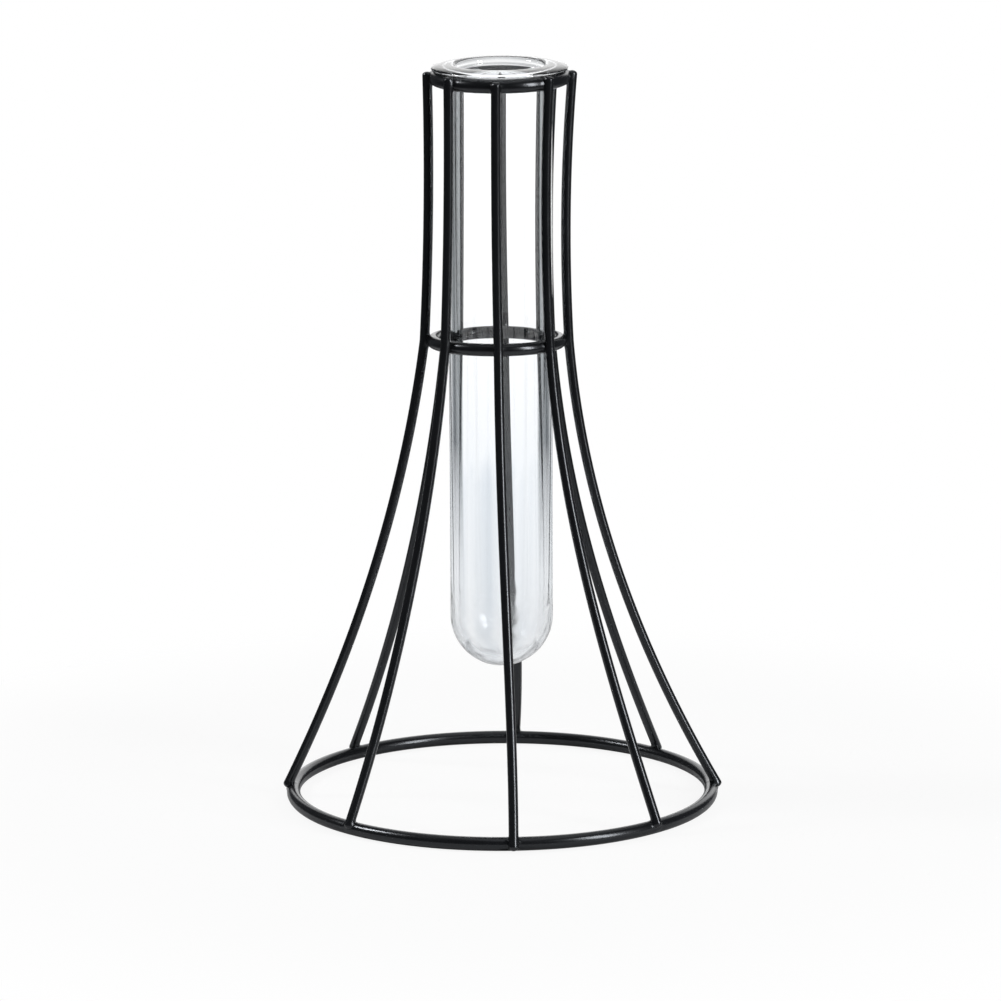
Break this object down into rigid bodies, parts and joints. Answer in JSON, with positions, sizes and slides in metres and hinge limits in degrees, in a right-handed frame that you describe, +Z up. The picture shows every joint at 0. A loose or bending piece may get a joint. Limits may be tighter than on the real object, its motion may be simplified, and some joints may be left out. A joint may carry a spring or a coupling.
{
  "type": "test tube vase with wire stand",
  "caption": "Clear glass test-tube bud vase that hangs by its lip in a flared black wire stand and lifts out for filling.",
  "frame": {"origin": "on the table at the centre of the base ring, under the tube's axis", "axes": "+Z up along the tube's axis, -Y towards the viewer of the picture, +X to that viewer's right"},
  "size_m": [0.1017, 0.1022, 0.1703],
  "materials": {
    "clear_glass": "clear, glossy",
    "black_wire": "satin black coating on iron wire"
  },
  "bodies": {
    "stand": {"top_ring": "black_wire", "collar_ring": "black_wire", "base_ring": "black_wire", "upright_right": "black_wire", "upright_back_right": "black_wire", "upright_back": "black_wire", "upright_back_left": "black_wire", "upright_left": "black_wire", "upright_front_left": "black_wire", "upright_front": "black_wire", "upright_front_right": "black_wire"},
    "tube": {"glass_tube": "clear_glass"}
  },
  "joints": [
    {"name": "tube_lift", "type": "slide", "parent": "stand", "child": "tube", "axis": [0, 0, 1], "range_m": [0, 0.15]}
  ]
}
